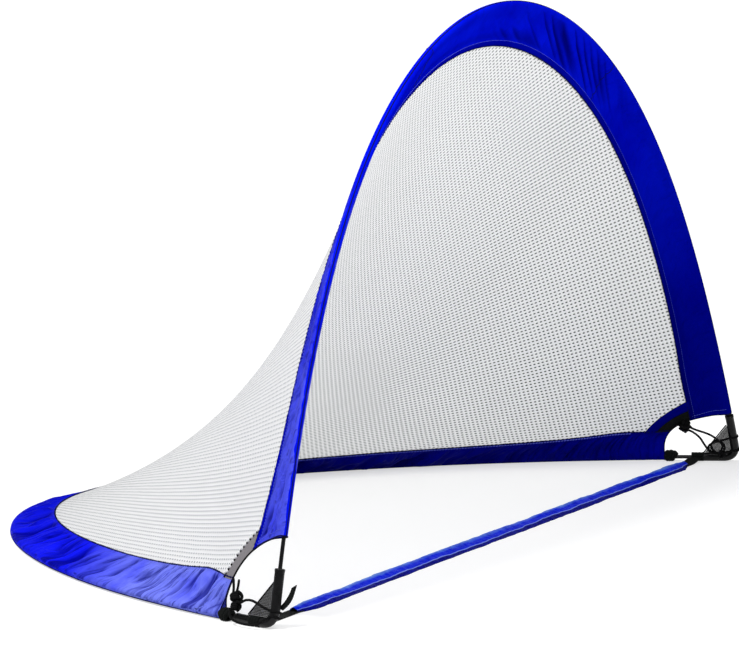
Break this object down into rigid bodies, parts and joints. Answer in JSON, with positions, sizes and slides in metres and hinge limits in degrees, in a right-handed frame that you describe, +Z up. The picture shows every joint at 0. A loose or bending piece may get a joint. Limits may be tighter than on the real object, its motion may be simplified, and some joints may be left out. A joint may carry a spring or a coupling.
{
  "type": "pop-up soccer goal",
  "caption": "Pop-up soccer goal: a sprung front arch and a ground hoop joined at flexible corner tubes, with a net drawn between them and a strip along the goal line.",
  "frame": {"origin": "on the ground, under the middle of the ground strip along the goal line", "axes": "+Z up, +X along the goal line towards the right corner as seen from the mouth side, +Y towards the back of the goal; the mouth faces -Y"},
  "size_m": [1.8444, 0.9915, 0.9264],
  "materials": {
    "rod": "satin glass fibre",
    "ferrule": "drawn",
    "corner_tube": "satin",
    "blue_fabric": "coated woven polyester",
    "pleated_fabric": "coated woven polyester, gathered",
    "net": "fine knitted mesh",
    "edge_tape": "woven tape",
    "black_webbing": "woven webbing",
    "dark_mesh": "open dark mesh",
    "black_cord": "braided cord"
  },
  "bodies": {
    "base": {"base_rod_left": "rod", "base_rod_right": "rod", "base_ferrule": "ferrule", "base_sleeve": "blue_fabric", "base_border": "pleated_fabric", "net": "net", "corner_tube_left": "corner_tube", "corner_tube_right": "corner_tube", "corner_tape_left": "edge_tape", "corner_tape_right": "edge_tape", "base_cuff_left": "black_webbing", "base_cuff_right": "black_webbing", "webbing_loop_left": "black_webbing", "webbing_loop_right": "black_webbing", "webbing_tail_left": "black_webbing", "strip_webbing": "black_webbing", "ground_strip": "blue_fabric", "corner_gusset_left": "dark_mesh", "corner_gusset_right": "dark_mesh", "gusset_cord_left": "black_cord", "gusset_cord_right": "black_cord", "corner_cord_left_upper": "black_cord", "corner_cord_left_lower": "black_cord", "corner_cord_right_upper": "black_cord", "corner_cord_right_lower": "black_cord"},
    "arch": {"arch_rod_left": "rod", "arch_rod_right": "rod", "arch_ferrule": "ferrule", "arch_sleeve": "blue_fabric", "arch_border": "blue_fabric"}
  },
  "joints": [
    {"name": "arch_fold", "type": "hinge", "parent": "base", "child": "arch", "pos_m": [0, -0.054, 0.0078], "axis": [-1, 0, 0], "range_deg": [0, 72], "stiffness_Nm_per_rad": 6, "springref_deg": -20.05, "deforming": ["net", "arch_border", "base_border", "corner_tape_left", "corner_tape_right", "corner_tube_left", "corner_tube_right", "corner_gusset_left", "corner_gusset_right", "gusset_cord_left", "gusset_cord_right", "corner_cord_left_upper", "corner_cord_left_lower", "corner_cord_right_upper", "corner_cord_right_lower", "webbing_tail_left"]}
  ]
}
